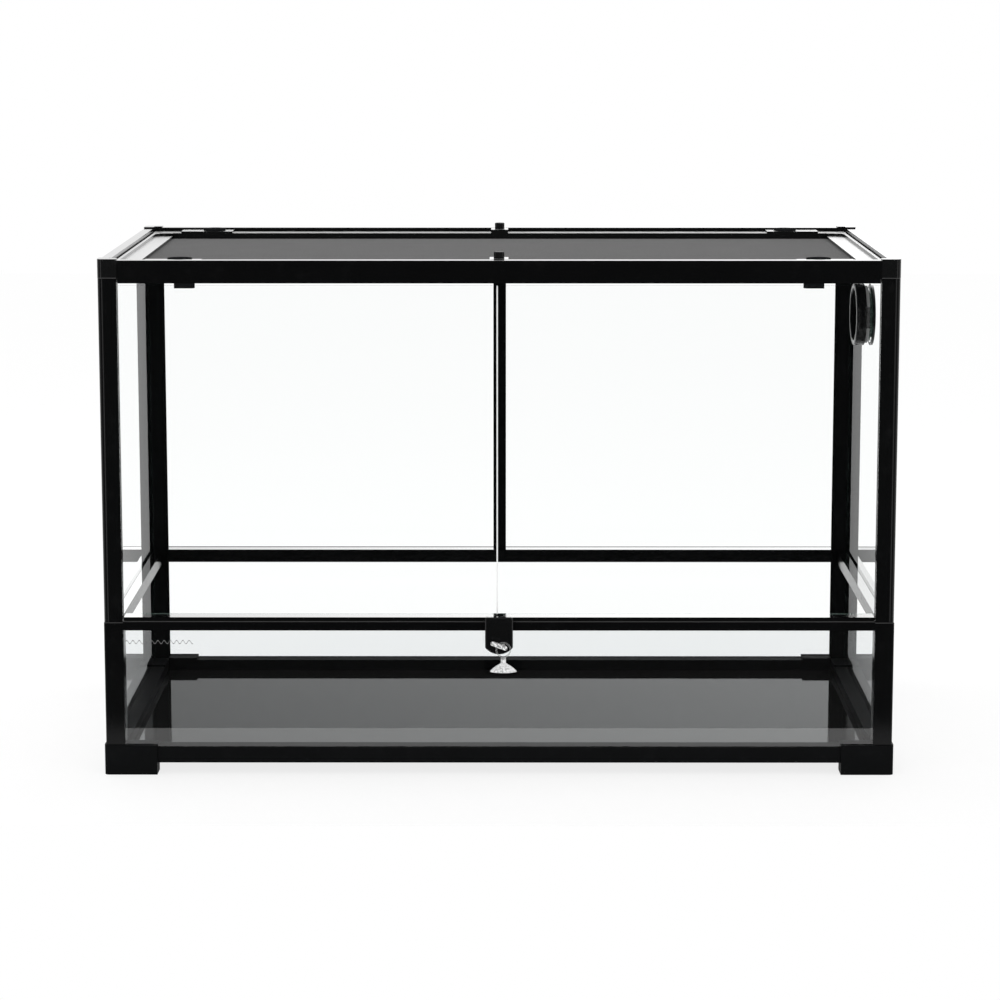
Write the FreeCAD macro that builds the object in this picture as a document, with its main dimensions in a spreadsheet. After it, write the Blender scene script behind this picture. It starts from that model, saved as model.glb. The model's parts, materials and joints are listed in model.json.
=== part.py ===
"""Glass reptile terrarium: a knock-down frame with panes, two hinged doors and a lift-off screen lid.

Lengths are millimetres. +Z is up, the doors face -Y, and the origin lies on the ground under the
middle of the whole footprint, the hanging pull included.
"""
import FreeCAD, Part
import math
import os
from types import SimpleNamespace

import Sketcher

# Driving sizes: name, value, what it measures
SIZES = [
    ("case_width", 910, "over the outer faces of the posts"),
    ("case_depth", 453, "over the front and rear faces of the frame"),
    ("case_height", 599.5, "ground to the top of the corner caps"),
    ("setback", 14, "middle of the case behind the origin, to balance the pull"),
    ("post_size", 22, "square of the posts, and width of the base and top rails"),
    ("edge_round", 1.5, "rounding of the extrusions' outer edges"),
    ("glass_thickness", 4, "every pane"),
    ("glass_inset", 1.5, "outer face of a pane behind the frame's face"),
    ("glass_fit", 0.2, "room on each side of a pane in its slot"),
    ("glass_bite", 8, "how deep a pane stands in the base rails and posts"),
    ("rail_bite", 6, "how deep a pane stands in the mid rails"),
    ("top_bite", 5, "how deep a pane stands in the top rails"),
    ("rail_bite_room", 0.5, "room above a pane's upper edge"),
    ("foot_height", 35, "corner feet"),
    ("foot_length", 61, "each leg of a corner foot, from its outer face"),
    ("foot_proud", 2, "feet outside the posts"),
    ("foot_round", 5, "outer upright edge of feet and caps"),
    ("base_rail_bottom", 14, "ground clearance of the base rails"),
    ("base_rail_height", 18.5, "base rails"),
    ("floor_level", 16, "underside of the floor panel"),
    ("floor_thickness", 4, "floor panel"),
    ("seam_height", 180, "top of the lower front posts"),
    ("front_mid_drop", 9.5, "underside of the front mid rail below the seam"),
    ("front_mid_height", 15.5, "front mid rail"),
    ("front_step_drop", 5, "height of the step along the front mid rail's top edge"),
    ("front_step_depth", 0.6, "how far that step is set back"),
    ("mid_rail_drop", 0.5, "rear and side mid rails below the seam"),
    ("mid_rail_height", 16.5, "rear and side mid rails"),
    ("side_mid_width", 17, "side mid rails"),
    ("mullion_width", 16.2, "between the upper rear panes"),
    ("mullion_depth", 16, "front to back"),
    ("mullion_bite", 5, "how deep a pane stands in the mullion"),
    ("cap_height", 22, "top corner caps"),
    ("top_rail_drop", 1.5, "top rails below the caps"),
    ("top_rail_height", 26, "top rails"),
    ("top_wall", 12.5, "upright wall of a top rail"),
    ("ledge_height", 8, "ledge that the lid rests on"),
    ("rail_slit", 1.2, "gap between a front rail's end and the door stile"),
    ("upright_width", 18, "front uprights behind the stiles"),
    ("upright_gap", 0.5, "between a stile's back and its upright"),
    ("upright_bite", 6, "how deep a side pane stands in a front upright"),
    ("stile_depth", 12, "door stiles, front to back"),
    ("stile_gap", 0.3, "above and below a stile"),
    ("door_gap", 3, "door glass to the rails above and below"),
    ("meeting_gap", 2.3, "between the two doors"),
    ("meeting_offset", -1.7, "where the doors meet, from the middle"),
    ("pin_diameter", 5, "hinge pins on the lower posts and under the front caps"),
    ("pin_length", 8, "hinge pins"),
    ("pin_run", 0.05, "radial clearance of a turning fit"),
    ("pin_seat", 0.02, "radial clearance of a fixed fit"),
    ("lid_fit", 1.2, "lid to the top rails' walls"),
    ("lid_recess", 4.4, "lid frame below the top rails"),
    ("lid_bar_width", 29, "front and rear bars of the lid"),
    ("lid_end_width", 25.7, "end trays of the lid"),
    ("tray_rim", 4.8, "outer rim of an end tray"),
    ("tray_depth", 3.6, "recess of an end tray"),
    ("tray_round", 14, "outer corners of that recess"),
    ("tray_margin", 3, "recess to the bars"),
    ("screen_thickness", 0.8, "woven wire screen"),
    ("screen_drop", 8, "screen below the lid frame's top"),
    ("screen_bite", 6, "how deep the screen stands in the lid frame"),
    ("screen_bar", 2.4, "bars between the screen's openings"),
    ("latch_inset", 77.3, "lid latches from the lid's ends"),
    ("boss_inward", 24, "latch boss from its latch towards the middle"),
    ("boss_outward", 41, "latch boss from its latch towards the lid's end"),
    ("boss_height", 2.2, "latch bosses above the lid frame"),
    ("disc_diameter", 28, "lid latch discs"),
    ("disc_thickness", 2.4, "lid latch discs"),
    ("disc_gap", 0.2, "under a disc"),
    ("coin_slot_length", 17, "slot across a disc"),
    ("coin_slot_width", 2.6, "slot across a disc"),
    ("coin_slot_depth", 1, "slot across a disc"),
    ("shank_size", 5.6, "square shanks of the lid latches"),
    ("cam_reach", 16.5, "cam from the shank to its nose"),
    ("cam_heel", 6.5, "cam from the shank to its heel"),
    ("cam_width", 11, "cam"),
    ("cam_height", 7.8, "cam"),
    ("cam_bevel", 3, "corners of the cam's nose"),
    ("cam_gap", 0.3, "cam below the top rails"),
    ("bracket_width", 21.5, "raised seat of a lifting knob"),
    ("knob_diameter", 12.4, "lifting knobs"),
    ("knob_height", 7.6, "lifting knobs"),
    ("knob_peg", 5, "square peg under a knob"),
    ("knob_peg_length", 8, "peg in the bar"),
    ("catch_width", 32, "door latch plate"),
    ("catch_proud", 1.6, "door latch above the front mid rail, unlocked"),
    ("catch_side", 35.6, "straight side of the door latch"),
    ("catch_sag", 8, "rise of the rounded lower edge"),
    ("catch_thickness", 7, "door latch plate"),
    ("catch_gap", 0.3, "behind the door latch plate"),
    ("catch_bevel", 1.2, "front edges of the door latch"),
    ("catch_corner", 2.5, "outline corners of the door latch"),
    ("catch_travel", 6, "how far the latch slides up to lock"),
    ("guide_height", 9, "dovetail guide"),
    ("guide_above", 1.5, "guide's lower edge above the rail's underside"),
    ("guide_narrow", 11, "guide at the rail"),
    ("guide_wide", 16, "guide at its front"),
    ("guide_depth", 4, "guide, front to back"),
    ("guide_fit", 0.2, "room round the guide"),
    ("peg_place", 5, "pull's peg from the middle"),
    ("peg_drop", 33.1, "pull's peg below the top of the door latch"),
    ("peg_diameter", 4, "pull's peg"),
    ("peg_root", 3, "peg in the latch plate"),
    ("peg_length", 7.6, "peg in front of the latch plate"),
    ("toggle_length", 20, "toggle bar across the peg"),
    ("toggle_width", 4.6, "toggle bar"),
    ("toggle_thickness", 3.5, "toggle bar"),
    ("toggle_shift", -5.3, "middle of the bar from the peg"),
    ("toggle_tilt", 20, "degrees that the bar slopes down"),
    ("ring_outer", 18, "finger ring of the pull"),
    ("ring_inner", 13, "finger ring's hole"),
    ("ring_thickness", 3, "finger ring"),
    ("ring_hang", 0.5, "slack between peg and ring"),
    ("ring_stand", 4, "middle of the ring in front of the latch plate"),
    ("neck_width", 6.5, "flat neck between ring and suction cup"),
    ("neck_thickness", 4, "flat neck"),
    ("neck_length", 6, "neck below the ring"),
    ("cup_diameter", 31, "suction cup"),
    ("cup_height", 10, "suction cup"),
    ("cup_hollow", 22, "hollow under the suction cup, across"),
    ("cup_hollow_depth", 3.5, "hollow under the suction cup"),
    ("cup_slope", 9.2, "slope of the suction cup, from its rim in to its crown"),
    ("pull_lean", 7, "degrees that the pull leans out"),
    ("port_back", 261, "cable port behind the front face"),
    ("port_clearance", 27.2, "cable port's flange below the right top rail"),
    ("port_outer", 75.6, "flange and ring nut"),
    ("port_tube", 64, "outside of the tube"),
    ("port_bore", 60, "inside of the tube"),
    ("port_flange", 2.5, "flange outside the pane"),
    ("port_reach", 14.5, "tube inside the pane"),
    ("port_fit", 0.2, "round the tube"),
    ("gasket_thickness", 4, "port gasket"),
    ("gasket_outer", 70, "port gasket"),
    ("nut_reach", 16.5, "ring nut's inner face from the pane"),
    ("lug_height", 26, "grip lug at the front of the ring nut"),
    ("lug_proud", 0.9, "grip lug outside the ring nut"),
    ("lug_depth", 3.4, "grip lug, front to back"),
    ("lug_inset", 2, "grip lug behind the ring nut's face"),
    ("lug_gap", 0.3, "grip lug to the pane"),
    ("window_outer", 26, "outer radius of the half-moon windows"),
    ("window_inner", 8, "inner radius of the half-moon windows"),
    ("shutter_thickness", 2.3, "port shutter"),
    ("shutter_gap", 0.3, "round the shutter"),
    ("spindle_diameter", 6, "shutter's spindle"),
    ("spindle_lip", 0.35, "snap lip at the spindle's end"),
    ("spindle_lip_length", 1.2, "snap lip"),
    ("tenon_size", 6, "square tenons of the posts"),
    ("tenon_place", 9.2, "middle of a post's tenon from its outer faces"),
    ("tenon_length", 10, "tenons"),
    ("tenon_fit", 0.1, "round a tenon in its socket"),
    ("upright_tenon", 4.4, "square tenons of the front uprights"),
    ("upright_tenon_in", 9.8, "middle of an upright's tenon from the case's side"),
    ("upright_tenon_back", 17.2, "middle of an upright's tenon from the case's front"),
]

SCREEN_COLUMNS = 7
SCREEN_ROWS = 3
CUP_SIDES = 24
HALF_DIAGONAL = math.sqrt(0.5)  # of a square with sides of 1
SIDES = (("left", -1), ("right", 1))
ENDS = (("front", 1), ("rear", -1))


class Size:
    """A length that carries its number and the sheet expression that gives it."""

    def __init__(self, value, text):
        self.value = value
        self.text = text

    def __add__(self, other):
        other = as_size(other)
        return Size(self.value + other.value, f"({self.text} + {other.text})")

    def __sub__(self, other):
        other = as_size(other)
        return Size(self.value - other.value, f"({self.text} - {other.text})")

    def __mul__(self, number):
        return Size(self.value * number, f"({self.text} * {number})")

    def __truediv__(self, number):
        return Size(self.value / number, f"({self.text} / {number})")

    def __neg__(self):
        return Size(-self.value, f"(0 - {self.text})")

    __rmul__ = __mul__


def as_size(thing):
    """A plain number as a Size."""
    return thing if isinstance(thing, Size) else Size(thing, f"({thing})")


ZERO = as_size(0)
BEYOND = as_size(1)  # how far a cut runs past the face it opens

doc = FreeCAD.newDocument("terrarium")
sheet = doc.addObject("Spreadsheet::Sheet", "sizes")
s = SimpleNamespace()
for row, (alias, number, note) in enumerate(SIZES, 1):
    sheet.set(f"A{row}", alias)
    sheet.set(f"B{row}", str(number))
    sheet.setAlias(f"B{row}", alias)
    sheet.set(f"C{row}", note)
    setattr(s, alias, Size(number, f"sizes.{alias}"))
doc.recompute()

nodes = []


# Building blocks: bodies, sketches and features bound to the sheet
def new_body(label, x=ZERO, y=ZERO, z=ZERO, node=True):
    """An empty body placed by the sheet, listed as a node unless it goes into a group."""
    body = doc.addObject("PartDesign::Body", label)
    body.Label = label
    place(body, x, y, z)
    if node:
        nodes.append(body)
    return body


def place(thing, x, y, z):
    for letter, size in zip("xyz", (x, y, z)):
        thing.setExpression(f"Placement.Base.{letter}", as_size(size).text)


def turn(thing, axis, degrees):
    """Turns an object about an axis through its own origin."""
    thing.Placement = FreeCAD.Placement(
        thing.Placement.Base, FreeCAD.Rotation(FreeCAD.Vector(*axis), degrees.value)
    )
    thing.setExpression("Placement.Rotation.Angle", f"{degrees.text} * 1 deg")


def group(label, members):
    """Separate solids that share one node."""
    compound = doc.addObject("Part::Compound", label)
    compound.Label = label
    compound.Links = members
    nodes.append(compound)
    return compound


def new_sketch(body, role, level=ZERO):
    """A sketch on one of the body's origin planes, lifted along the plane's normal."""
    flat = [feature for feature in body.Origin.OriginFeatures if feature.Role == role]
    sketch = body.newObject("Sketcher::SketchObject", f"{body.Name}_sketch")
    sketch.AttachmentSupport = [(flat[0], "")]
    sketch.MapMode = "FlatFace"
    sketch.setExpression("AttachmentOffset.Base.z", as_size(level).text)
    return sketch


def pin(sketch, geometry, point, x, y):
    """Fixes a sketch point at x, y. None leaves a coordinate free."""
    for kind, size in (("DistanceX", x), ("DistanceY", y)):
        if size is not None:
            size = as_size(size)
            rule = Sketcher.Constraint(kind, -1, 1, geometry, point, size.value)
            index = sketch.addConstraint(rule)
            sketch.setExpression(f"Constraints[{index}]", size.text)


def vector(x, y):
    return FreeCAD.Vector(as_size(x).value, as_size(y).value, 0)


def arc_to(x, y, centre_x, centre_y, fixed, way=1):
    """A corner that the outline reaches along an arc; way is 1 for anticlockwise."""
    return (x, y, centre_x, centre_y, fixed, way)


def flipped(path, sign_x, sign_y=1):
    """An outline mirrored in x, in y or in both."""
    out = []
    for corner in path:
        x, y = as_size(corner[0]) * sign_x, as_size(corner[1]) * sign_y
        if len(corner) == 2:
            out.append((x, y))
        else:
            centre_x, centre_y = as_size(corner[2]) * sign_x, as_size(corner[3]) * sign_y
            out.append((x, y, centre_x, centre_y, corner[4], corner[5] * sign_x * sign_y))
    return out


def draw(sketch, path):
    """Draws a closed outline of lines and arcs with every corner bound to the sheet."""
    edges = []
    for index, corner in enumerate(path):
        start = vector(*path[index - 1][:2])
        end = vector(*corner[:2])
        if len(corner) == 2:
            curve = Part.LineSegment(start, end)
            edges.append((sketch.addGeometry(curve, False), 1, 2))
            continue
        centre = vector(corner[2], corner[3])
        first, last = (start, end) if corner[5] > 0 else (end, start)
        circle = Part.Circle(centre, FreeCAD.Vector(0, 0, 1), (first - centre).Length)
        curve = Part.ArcOfCircle(circle, circle.parameter(first), circle.parameter(last))
        order = (1, 2) if corner[5] > 0 else (2, 1)
        edges.append((sketch.addGeometry(curve, False), *order))
    for index, corner in enumerate(path):
        geometry, _, tail = edges[index]
        following, head, _ = edges[(index + 1) % len(path)]
        sketch.addConstraint(Sketcher.Constraint("Coincident", geometry, tail, following, head))
        pin(sketch, geometry, tail, corner[0], corner[1])
        if len(corner) > 2:
            fixed_x = corner[2] if corner[4] == "x" else None
            fixed_y = corner[3] if corner[4] == "y" else None
            pin(sketch, geometry, 3, fixed_x, fixed_y)


def draw_circle(sketch, x, y, radius):
    circle = Part.Circle(vector(x, y), FreeCAD.Vector(0, 0, 1), radius.value)
    geometry = sketch.addGeometry(circle, False)
    pin(sketch, geometry, 3, x, y)
    index = sketch.addConstraint(Sketcher.Constraint("Radius", geometry, radius.value))
    sketch.setExpression(f"Constraints[{index}]", radius.text)


def rectangle(x0, x1, y0, y1):
    return [(x0, y0), (x1, y0), (x1, y1), (x0, y1)]


def pad(body, sketch, length, both_ways=False, backwards=False):
    feature = body.newObject("PartDesign::Pad", f"{body.Name}_pad")
    feature.Profile = sketch
    feature.setExpression("Length", length.text)
    feature.SideType = "Symmetric" if both_ways else "One side"
    feature.Reversed = backwards
    return feature


def pocket(body, sketch, depth=None, upwards=False):
    """Cuts along the sketch's normal if upwards, else against it; through all with no depth."""
    doc.recompute()
    before = body.Shape.Volume
    feature = body.newObject("PartDesign::Pocket", f"{body.Name}_pocket")
    feature.Profile = sketch
    feature.Reversed = upwards
    if depth is None:
        feature.Type = "ThroughAll"
    else:
        feature.setExpression("Length", depth.text)
    doc.recompute()
    if not body.Shape.Volume < before:
        raise RuntimeError(f"{body.Label}: a pocket cut nothing")
    return feature


def edges_where(body, chosen):
    """The body's latest feature, with the names of its edges for which chosen says yes."""
    doc.recompute()
    base = body.Tip
    return base, [f"Edge{i}" for i, edge in enumerate(base.Shape.Edges, 1) if chosen(edge)]


def round_edges(body, radius, chosen):
    base_edges = edges_where(body, chosen)
    feature = body.newObject("PartDesign::Fillet", f"{body.Name}_round")
    feature.Base = base_edges
    feature.setExpression("Radius", radius.text)


def bevel_edges(body, width, chosen):
    base_edges = edges_where(body, chosen)
    feature = body.newObject("PartDesign::Chamfer", f"{body.Name}_bevel")
    feature.Base = base_edges
    feature.setExpression("Size", width.text)


def square(x, y, size):
    """The outline of a square about a point."""
    half = size / 2
    return rectangle(x - half, x + half, y - half, y + half)


# Levels and places worked out from the driving sizes
half_width = s.case_width / 2
inner_x = half_width - s.post_size
front = s.setback - s.case_depth / 2
rear = s.setback + s.case_depth / 2
slot_near = s.glass_inset - s.glass_fit
slot_far = s.glass_inset + s.glass_thickness + s.glass_fit
post_slot = s.post_size - s.glass_bite - s.glass_fit
base_top = s.base_rail_bottom + s.base_rail_height
pane_foot = base_top - s.glass_bite
foot_end = s.foot_length - s.foot_proud
front_mid_bottom = s.seam_height - s.front_mid_drop
front_mid_top = front_mid_bottom + s.front_mid_height
mid_top = s.seam_height - s.mid_rail_drop
mid_bottom = mid_top - s.mid_rail_height
rail_top = s.case_height - s.top_rail_drop
rail_bottom = rail_top - s.top_rail_height
ledge_top = rail_bottom + s.ledge_height
cap_bottom = s.case_height - s.cap_height
rail_slot = s.rail_bite + s.rail_bite_room
pivot = s.stile_depth / 2
pin_radius = s.pin_diameter / 2


def corner_place(side, end):
    """The case's corner, and the signs that point from it to the inside."""
    return half_width * side, front if end > 0 else rear, -side, end


def slot_below(level, depth):
    return [
        (slot_near, level),
        (slot_near, level + depth),
        (slot_far, level + depth),
        (slot_far, level),
    ]


def slot_above(level, depth):
    return [
        (slot_far, level),
        (slot_far, level - depth),
        (slot_near, level - depth),
        (slot_near, level),
    ]


def front_rail(label, section, half_length, end, level):
    """A rail that runs across the front or rear, from its section of depth and height."""
    body = new_body(label, ZERO, front if end > 0 else rear, level)
    sketch = new_sketch(body, "YZ_Plane")
    draw(sketch, flipped(section, end))
    pad(body, sketch, half_length * 2, both_ways=True)
    return body


def side_rail(label, section, inset, side, level):
    """A rail that runs front to back on one side, inset from both ends."""
    body = new_body(label, half_width * side, rear - inset, level)
    sketch = new_sketch(body, "XZ_Plane")
    draw(sketch, flipped(section, -side))
    pad(body, sketch, s.case_depth - inset * 2)
    return body


def post_tenon(fit=ZERO):
    """The square of a post's tenon from the case's corner, or of its socket with some fit."""
    return square(s.tenon_place, s.tenon_place, s.tenon_size + fit * 2)


def upright_tenon(fit=ZERO):
    """The square of a front upright's tenon from the case's corner, or of its socket."""
    return square(s.upright_tenon_in, s.upright_tenon_back, s.upright_tenon + fit * 2)


# Base: feet, rails and floor
def base_section():
    wide = s.post_size
    floor_low = s.floor_level - s.base_rail_bottom
    floor_high = floor_low + s.floor_thickness + s.glass_fit
    inner = wide - s.glass_bite - s.glass_fit
    inner_slot = [(wide, floor_low), (inner, floor_low), (inner, floor_high), (wide, floor_high)]
    top = s.base_rail_height
    return (
        [(ZERO, ZERO), (wide, ZERO)]
        + inner_slot
        + [(wide, top)]
        + slot_above(top, s.glass_bite)
        + [(ZERO, top)]
    )


def make_foot(label, side, end):
    x, y, sign_x, sign_y = corner_place(side, end)
    body = new_body(label, x, y, ZERO)
    out = -s.foot_proud
    bend = out + s.foot_round
    outline = [
        arc_to(bend, out, bend, bend, "x"),
        (foot_end, out),
        (foot_end, s.post_size),
        (s.post_size, s.post_size),
        (s.post_size, foot_end),
        (out, foot_end),
        (out, bend),
    ]
    sketch = new_sketch(body, "XY_Plane")
    draw(sketch, flipped(outline, sign_x, sign_y))
    pad(body, sketch, s.foot_height)
    slots = new_sketch(body, "XY_Plane", s.foot_height)
    draw(slots, flipped(rectangle(post_slot, foot_end + BEYOND, slot_near, slot_far), sign_x, sign_y))
    draw(slots, flipped(rectangle(slot_near, slot_far, post_slot, foot_end + BEYOND), sign_x, sign_y))
    pocket(body, slots, s.foot_height - pane_foot)
    floor_room = s.floor_thickness + s.glass_fit
    floor_slot = new_sketch(body, "XY_Plane", s.floor_level + floor_room)
    reach = foot_end + BEYOND
    draw(floor_slot, flipped(rectangle(post_slot, reach, post_slot, reach), sign_x, sign_y))
    pocket(body, floor_slot, floor_room)
    socket = new_sketch(body, "XY_Plane", s.foot_height)
    draw(socket, flipped(post_tenon(s.tenon_fit), sign_x, sign_y))
    pocket(body, socket, s.tenon_length + s.tenon_fit)


for end_name, end in ENDS:
    for side_name, side in SIDES:
        make_foot(f"foot_{end_name}_{side_name}", side, end)
for end_name, end in ENDS:
    rail_half = half_width - foot_end
    front_rail(f"base_{end_name}_rail", base_section(), rail_half, end, s.base_rail_bottom)
for side_name, side in SIDES:
    side_rail(f"base_{side_name}_rail", base_section(), foot_end, side, s.base_rail_bottom)

floor_x = inner_x + s.glass_bite
floor_front = front + s.post_size - s.glass_bite
floor_rear = rear - s.post_size + s.glass_bite
floor = new_body("floor_panel", ZERO, ZERO, s.floor_level)
floor_sketch = new_sketch(floor, "XY_Plane")
draw(floor_sketch, rectangle(-floor_x, floor_x, floor_front, floor_rear))
pad(floor, floor_sketch, s.floor_thickness)


# Posts, uprights and the mullion
def post_section():
    wide = s.post_size
    bend = s.edge_round
    return [
        arc_to(bend, ZERO, bend, bend, "x"),
        (wide, ZERO),
        (wide, slot_near),
        (post_slot, slot_near),
        (post_slot, slot_far),
        (wide, slot_far),
        (wide, wide),
        (slot_far, wide),
        (slot_far, post_slot),
        (slot_near, post_slot),
        (slot_near, wide),
        (ZERO, wide),
        (ZERO, bend),
    ]


def add_tenon(body, outline, level, downwards):
    sketch = new_sketch(body, "XY_Plane", level)
    draw(sketch, outline)
    pad(body, sketch, s.tenon_length, backwards=downwards)


def add_hinge_pin(body, side, level, downwards):
    """The round pin that a door stile turns on."""
    sketch = new_sketch(body, "XY_Plane", level)
    draw_circle(sketch, pivot * -side, pivot, pin_radius)
    pad(body, sketch, s.pin_length, backwards=downwards)


def make_post(label, side, end, top):
    """A post on a foot, with a tenon below; a rear post has one above as well."""
    x, y, sign_x, sign_y = corner_place(side, end)
    body = new_body(label, x, y, s.foot_height)
    length = top - s.foot_height
    sketch = new_sketch(body, "XY_Plane")
    draw(sketch, flipped(post_section(), sign_x, sign_y))
    pad(body, sketch, length)
    tenon = flipped(post_tenon(), sign_x, sign_y)
    add_tenon(body, tenon, ZERO, True)
    if end < 0:
        add_tenon(body, tenon, length, False)
    return body


for side_name, side in SIDES:
    lower_post = make_post(f"lower_front_post_{side_name}", side, 1, s.seam_height)
    post_top = s.seam_height - s.foot_height
    add_hinge_pin(lower_post, side, post_top, False)
    upright_socket = new_sketch(lower_post, "XY_Plane", post_top)
    draw(upright_socket, flipped(upright_tenon(s.tenon_fit), -side))
    pocket(lower_post, upright_socket, s.tenon_length + s.tenon_fit)
    make_post(f"rear_post_{side_name}", side, -1, cap_bottom)


def make_upright(label, side):
    """The slim post behind a door stile, which carries the side pane and the cap."""
    x, y, sign_x, sign_y = corner_place(side, 1)
    body = new_body(label, x, y, s.seam_height)
    face = s.stile_depth + s.upright_gap
    back = s.post_size
    slot_end = back - s.upright_bite - s.glass_fit
    outline = [
        (ZERO, face),
        (s.upright_width, face),
        (s.upright_width, back),
        (slot_far, back),
        (slot_far, slot_end),
        (slot_near, slot_end),
        (slot_near, back),
        (ZERO, back),
    ]
    sketch = new_sketch(body, "XY_Plane")
    draw(sketch, flipped(outline, sign_x, sign_y))
    length = cap_bottom - s.seam_height
    pad(body, sketch, length)
    tenon = flipped(upright_tenon(), sign_x, sign_y)
    add_tenon(body, tenon, ZERO, True)
    add_tenon(body, tenon, length, False)


for side_name, side in SIDES:
    make_upright(f"front_upright_{side_name}", side)


# Mid rails
def mid_section(wide):
    top = s.mid_rail_height
    return (
        [(ZERO, ZERO)]
        + slot_below(ZERO, rail_slot)
        + [(wide, ZERO), (wide, top)]
        + slot_above(top, s.rail_bite)
        + [(ZERO, top)]
    )


def front_mid_section():
    wide = s.post_size
    top = s.front_mid_height
    step = s.front_step_depth
    return (
        [(ZERO, ZERO)]
        + slot_below(ZERO, rail_slot)
        + [(wide, ZERO), (wide, top), (step, top), (step, top - s.front_step_drop)]
        + [(ZERO, top - s.front_step_drop)]
    )


def cut_slits(body, low, high):
    """Shortens a front rail at both ends, so that the door stiles turn clear of it."""
    sketch = new_sketch(body, "XZ_Plane")
    for sign in (-1, 1):
        gap = rectangle(inner_x - s.rail_slit, inner_x + BEYOND, low, high)
        draw(sketch, flipped(gap, sign))
    pocket(body, sketch)


front_mid = front_rail("front_mid_rail", front_mid_section(), inner_x, 1, front_mid_bottom)
cut_slits(front_mid, s.front_mid_drop, s.front_mid_height + BEYOND)
front_rail("rear_mid_rail", mid_section(s.post_size), inner_x, -1, mid_bottom)
for side_name, side in SIDES:
    side_rail(f"{side_name}_mid_rail", mid_section(s.side_mid_width), s.post_size, side, mid_bottom)

mullion = new_body("rear_mullion", ZERO, rear, mid_top)
mullion_half = s.mullion_width / 2
mullion_slot = mullion_half - s.mullion_bite - s.glass_fit
mullion_right = [
    (mullion_half, ZERO),
    (mullion_half, slot_near),
    (mullion_slot, slot_near),
    (mullion_slot, slot_far),
    (mullion_half, slot_far),
    (mullion_half, s.mullion_depth),
]
mullion_sketch = new_sketch(mullion, "XY_Plane")
mullion_left = flipped(mullion_right, -1)[::-1]
draw(mullion_sketch, flipped(mullion_right + mullion_left, 1, -1))
pad(mullion, mullion_sketch, rail_bottom - mid_top)


# Top rails and corner caps
def top_section(slotted):
    wide = s.post_size
    wall = s.top_wall
    top = s.top_rail_height
    bend = s.edge_round
    below = slot_below(ZERO, rail_slot) if slotted else []
    return (
        [(ZERO, ZERO)]
        + below
        + [(wide, ZERO), (wide, s.ledge_height), (wall, s.ledge_height), (wall, top), (bend, top)]
        + [arc_to(ZERO, top - bend, bend, top - bend, "x")]
    )


top_front = front_rail("top_front_rail", top_section(False), inner_x, 1, rail_bottom)
cut_slits(top_front, -BEYOND, cap_bottom - rail_bottom)
front_rail("top_rear_rail", top_section(True), inner_x, -1, rail_bottom)
for side_name, side in SIDES:
    side_rail(f"top_{side_name}_rail", top_section(True), s.post_size, side, rail_bottom)


def make_cap(label, side, end):
    """A moulded corner that joins two top rails and a post, notched for the lid's corner."""
    x, y, sign_x, sign_y = corner_place(side, end)
    body = new_body(label, x, y, cap_bottom)
    wide = s.post_size
    bend = s.foot_round
    outline = [
        arc_to(bend, ZERO, bend, bend, "x"),
        (wide, ZERO),
        (wide, wide),
        (ZERO, wide),
        (ZERO, bend),
    ]
    sketch = new_sketch(body, "XY_Plane")
    draw(sketch, flipped(outline, sign_x, sign_y))
    pad(body, sketch, s.cap_height)
    notch = new_sketch(body, "XY_Plane", s.cap_height)
    reach = wide + BEYOND
    draw(notch, flipped(rectangle(s.top_wall, reach, s.top_wall, reach), sign_x, sign_y))
    pocket(body, notch, s.case_height - ledge_top)
    socket = new_sketch(body, "XY_Plane")
    tenon = upright_tenon(s.tenon_fit) if end > 0 else post_tenon(s.tenon_fit)
    draw(socket, flipped(tenon, sign_x, sign_y))
    pocket(body, socket, s.tenon_length + s.tenon_fit, upwards=True)
    if end > 0:
        add_hinge_pin(body, side, ZERO, True)


for end_name, end in ENDS:
    for side_name, side in SIDES:
        make_cap(f"top_cap_{end_name}_{side_name}", side, end)


# Panes
def cross_pane(label, x0, x1, end, low, high):
    """An upright pane along X, seated in the front or rear slots."""
    body = new_body(label, ZERO, front if end > 0 else rear, low)
    sketch = new_sketch(body, "XY_Plane")
    far = s.glass_inset + s.glass_thickness
    draw(sketch, flipped(rectangle(x0, x1, s.glass_inset, far), 1, end))
    pad(body, sketch, high - low)
    return body


def side_pane(label, side, near, far, low, high):
    """An upright pane along Y, from near to far behind the case's front face."""
    body = new_body(label, half_width * side, front, low)
    sketch = new_sketch(body, "XY_Plane")
    inner = s.glass_inset + s.glass_thickness
    draw(sketch, flipped(rectangle(s.glass_inset, inner, near, far), -side))
    pad(body, sketch, high - low)
    return body


pane_x = inner_x + s.glass_bite
pane_near = s.post_size - s.glass_bite
pane_far = s.case_depth - pane_near
upper_foot = mid_top - s.rail_bite
upper_top = rail_bottom + s.top_bite
lower_top = mid_bottom + s.rail_bite
cross_pane("lower_front_glass", -pane_x, pane_x, 1, pane_foot, front_mid_bottom + s.rail_bite)
cross_pane("lower_rear_glass", -pane_x, pane_x, -1, pane_foot, lower_top)
mullion_pane = mullion_half - s.mullion_bite
cross_pane("rear_left_glass", -pane_x, -mullion_pane, -1, upper_foot, upper_top)
cross_pane("rear_right_glass", mullion_pane, pane_x, -1, upper_foot, upper_top)
side_glass = {}
for side_name, side in SIDES:
    side_pane(f"lower_{side_name}_glass", side, pane_near, pane_far, pane_foot, lower_top)
    label = f"{side_name}_side_glass"
    near = s.post_size - s.upright_bite
    side_glass[side] = side_pane(label, side, near, pane_far, upper_foot, upper_top)
port_hole = new_sketch(side_glass[1], "YZ_Plane")
port_radius = s.port_tube / 2
port_height = rail_bottom - s.port_clearance - s.port_outer / 2
draw_circle(port_hole, s.port_back, port_height - upper_foot, port_radius + s.port_fit)
pocket(side_glass[1], port_hole)


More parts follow.
